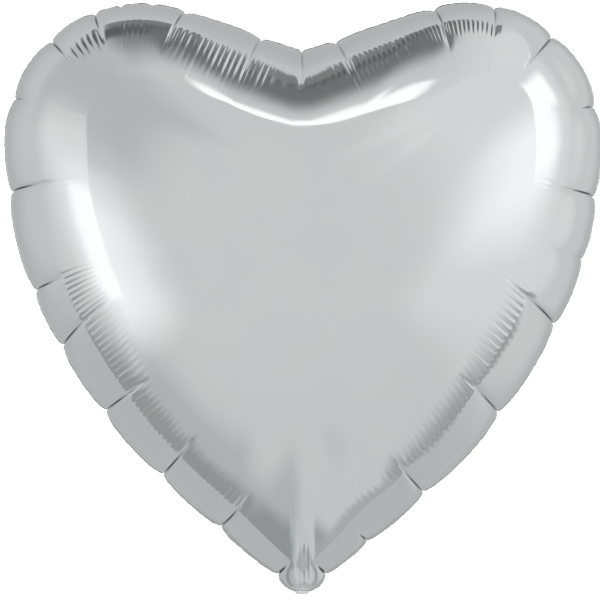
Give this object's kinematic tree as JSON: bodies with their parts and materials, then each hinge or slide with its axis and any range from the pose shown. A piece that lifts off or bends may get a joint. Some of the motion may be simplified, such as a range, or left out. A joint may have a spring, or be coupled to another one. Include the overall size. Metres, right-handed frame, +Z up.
{
  "type": "heart-shaped foil balloon",
  "caption": "Inflated heart-shaped balloon of metallised film, with a sealed seam, a fold-back filling tail and a self-sealing valve.",
  "frame": {"origin": "fold of the neck at the lowest point of the heart's tip, on the seam plane", "axes": "+Z up from the tip to the cleft, +X to the right of someone facing the front panel, +Y from the front panel to the rear panel"},
  "size_m": [0.38, 0.1898, 0.3783],
  "materials": {
    "front_film": "bright silver metallised film, mirror-like with a slight haze",
    "rear_film": "bright silver metallised film, mirror-like with a slight haze",
    "tail_film": "the same silver film, uninflated and lightly crumpled",
    "valve_film": "milky translucent polyethylene film"
  },
  "bodies": {
    "envelope": {"front_panel": "front_film", "rear_panel": "rear_film", "valve_root": "valve_film"},
    "tail": {"tail_front_ply": "tail_film", "tail_rear_ply": "tail_film"},
    "valve_front": {"valve_front_film": "valve_film"},
    "valve_rear": {"valve_rear_film": "valve_film"}
  },
  "joints": [
    {"name": "tail_fold", "type": "hinge", "parent": "envelope", "child": "tail", "pos_m": [0, 0, 0], "axis": [-1, 0, 0], "range_deg": [0, 264]},
    {"name": "valve_front_open", "type": "hinge", "parent": "envelope", "child": "valve_front", "pos_m": [0, 0, 0.02015], "axis": [1, 0, 0], "range_deg": [0, 6]},
    {"name": "valve_rear_open", "type": "hinge", "parent": "envelope", "child": "valve_rear", "pos_m": [0, 0, 0.02015], "axis": [1, 0, 0], "range_deg": [-6, 0]}
  ],
  "couplings": [
    {"joint": "valve_rear_open", "follows": "valve_front_open", "ratio": -1}
  ]
}
